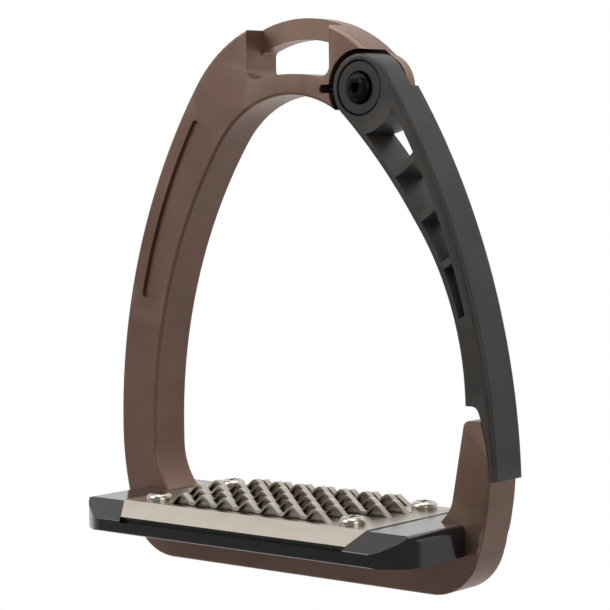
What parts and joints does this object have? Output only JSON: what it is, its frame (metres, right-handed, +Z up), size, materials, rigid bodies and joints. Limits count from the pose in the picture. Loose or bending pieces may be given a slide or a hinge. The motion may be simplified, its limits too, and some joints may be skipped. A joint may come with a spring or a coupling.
{
  "type": "stirrup iron",
  "caption": "Safety stirrup iron with a sprung, hinged outer arm, a wide tread pad and a toothed metal grip plate.",
  "frame": {"origin": "middle of the flat underside of the bottom bar, on the mid plane of the branches", "axes": "+X across the tread towards the hinged outer arm, +Y from the toe side with the blank recess to the back, +Z up to the leather eye"},
  "size_m": [0.1539, 0.0606, 0.176],
  "materials": {
    "frame_metal": "satin bronze anodised",
    "arm_plastic": "satin moulded",
    "cap_plastic": "satin moulded",
    "pad_plastic": "gloss moulded",
    "plate_steel": "brushed stainless",
    "screw_steel": "polished stainless",
    "dark_steel": "black oxide",
    "plain_steel": "plain",
    "spring_steel": "drawn wire",
    "brass": "plain",
    "washer_plastic": "low friction"
  },
  "bodies": {
    "frame": {"frame": "frame_metal", "pivot_screw": "dark_steel", "pivot_bushing": "brass", "pivot_washer": "washer_plastic", "pivot_nut": "plain_steel", "torsion_spring": "spring_steel", "tread_pad": "pad_plastic", "grip_plate": "plate_steel", "tread_screw_front_left": "screw_steel", "tread_insert_front_left": "brass", "tread_screw_front_right": "screw_steel", "tread_insert_front_right": "brass", "tread_screw_back_left": "screw_steel", "tread_insert_back_left": "brass", "tread_screw_back_right": "screw_steel", "tread_insert_back_right": "brass", "bar_screw_left": "dark_steel", "pad_insert_left": "brass", "bar_screw_right": "dark_steel", "pad_insert_right": "brass"},
    "arm": {"arm_body": "arm_plastic", "pivot_cap": "cap_plastic"}
  },
  "joints": [
    {"name": "arm_release", "type": "hinge", "parent": "frame", "child": "arm", "pos_m": [0.02851, 0, 0.15331], "axis": [0, -1, 0], "range_deg": [0, 58], "stiffness_Nm_per_rad": 0.24, "springref_deg": -85.94, "deforming": ["torsion_spring"]}
  ]
}
